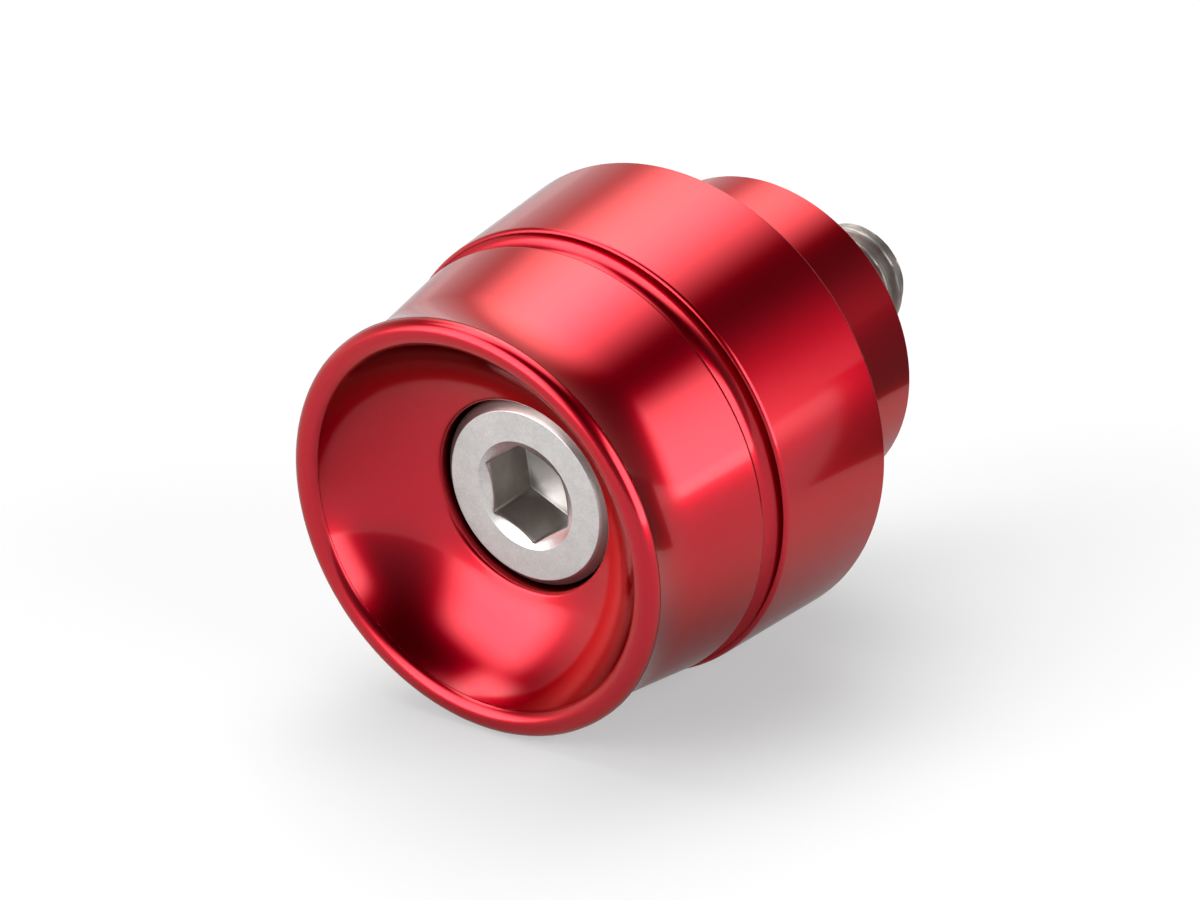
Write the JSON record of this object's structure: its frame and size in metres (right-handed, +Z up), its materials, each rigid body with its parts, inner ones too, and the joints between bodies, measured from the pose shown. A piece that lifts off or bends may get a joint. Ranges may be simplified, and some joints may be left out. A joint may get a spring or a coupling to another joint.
{
  "type": "bar end weight",
  "caption": "Red anodised bar end weight with a stepped collar, a grooved barrel and a dished mouth, held to the handlebar by a hex socket screw through its middle.",
  "frame": {"origin": "centre of the collar's end face, the seat that meets the end of the handlebar", "axes": "+Y along the turning axis out of the seat into the bar, so the dished mouth faces -Y; +Z up as the weight lies in the picture; +X to the right seen from the mouth"},
  "size_m": [0.0324, 0.0439, 0.0324],
  "materials": {
    "anodised": "gloss red anodised over fine turning",
    "steel": "satin stainless steel"
  },
  "bodies": {
    "root": {"weight_body": "anodised", "socket_cap_screw": "steel"}
  },
  "joints": []
}
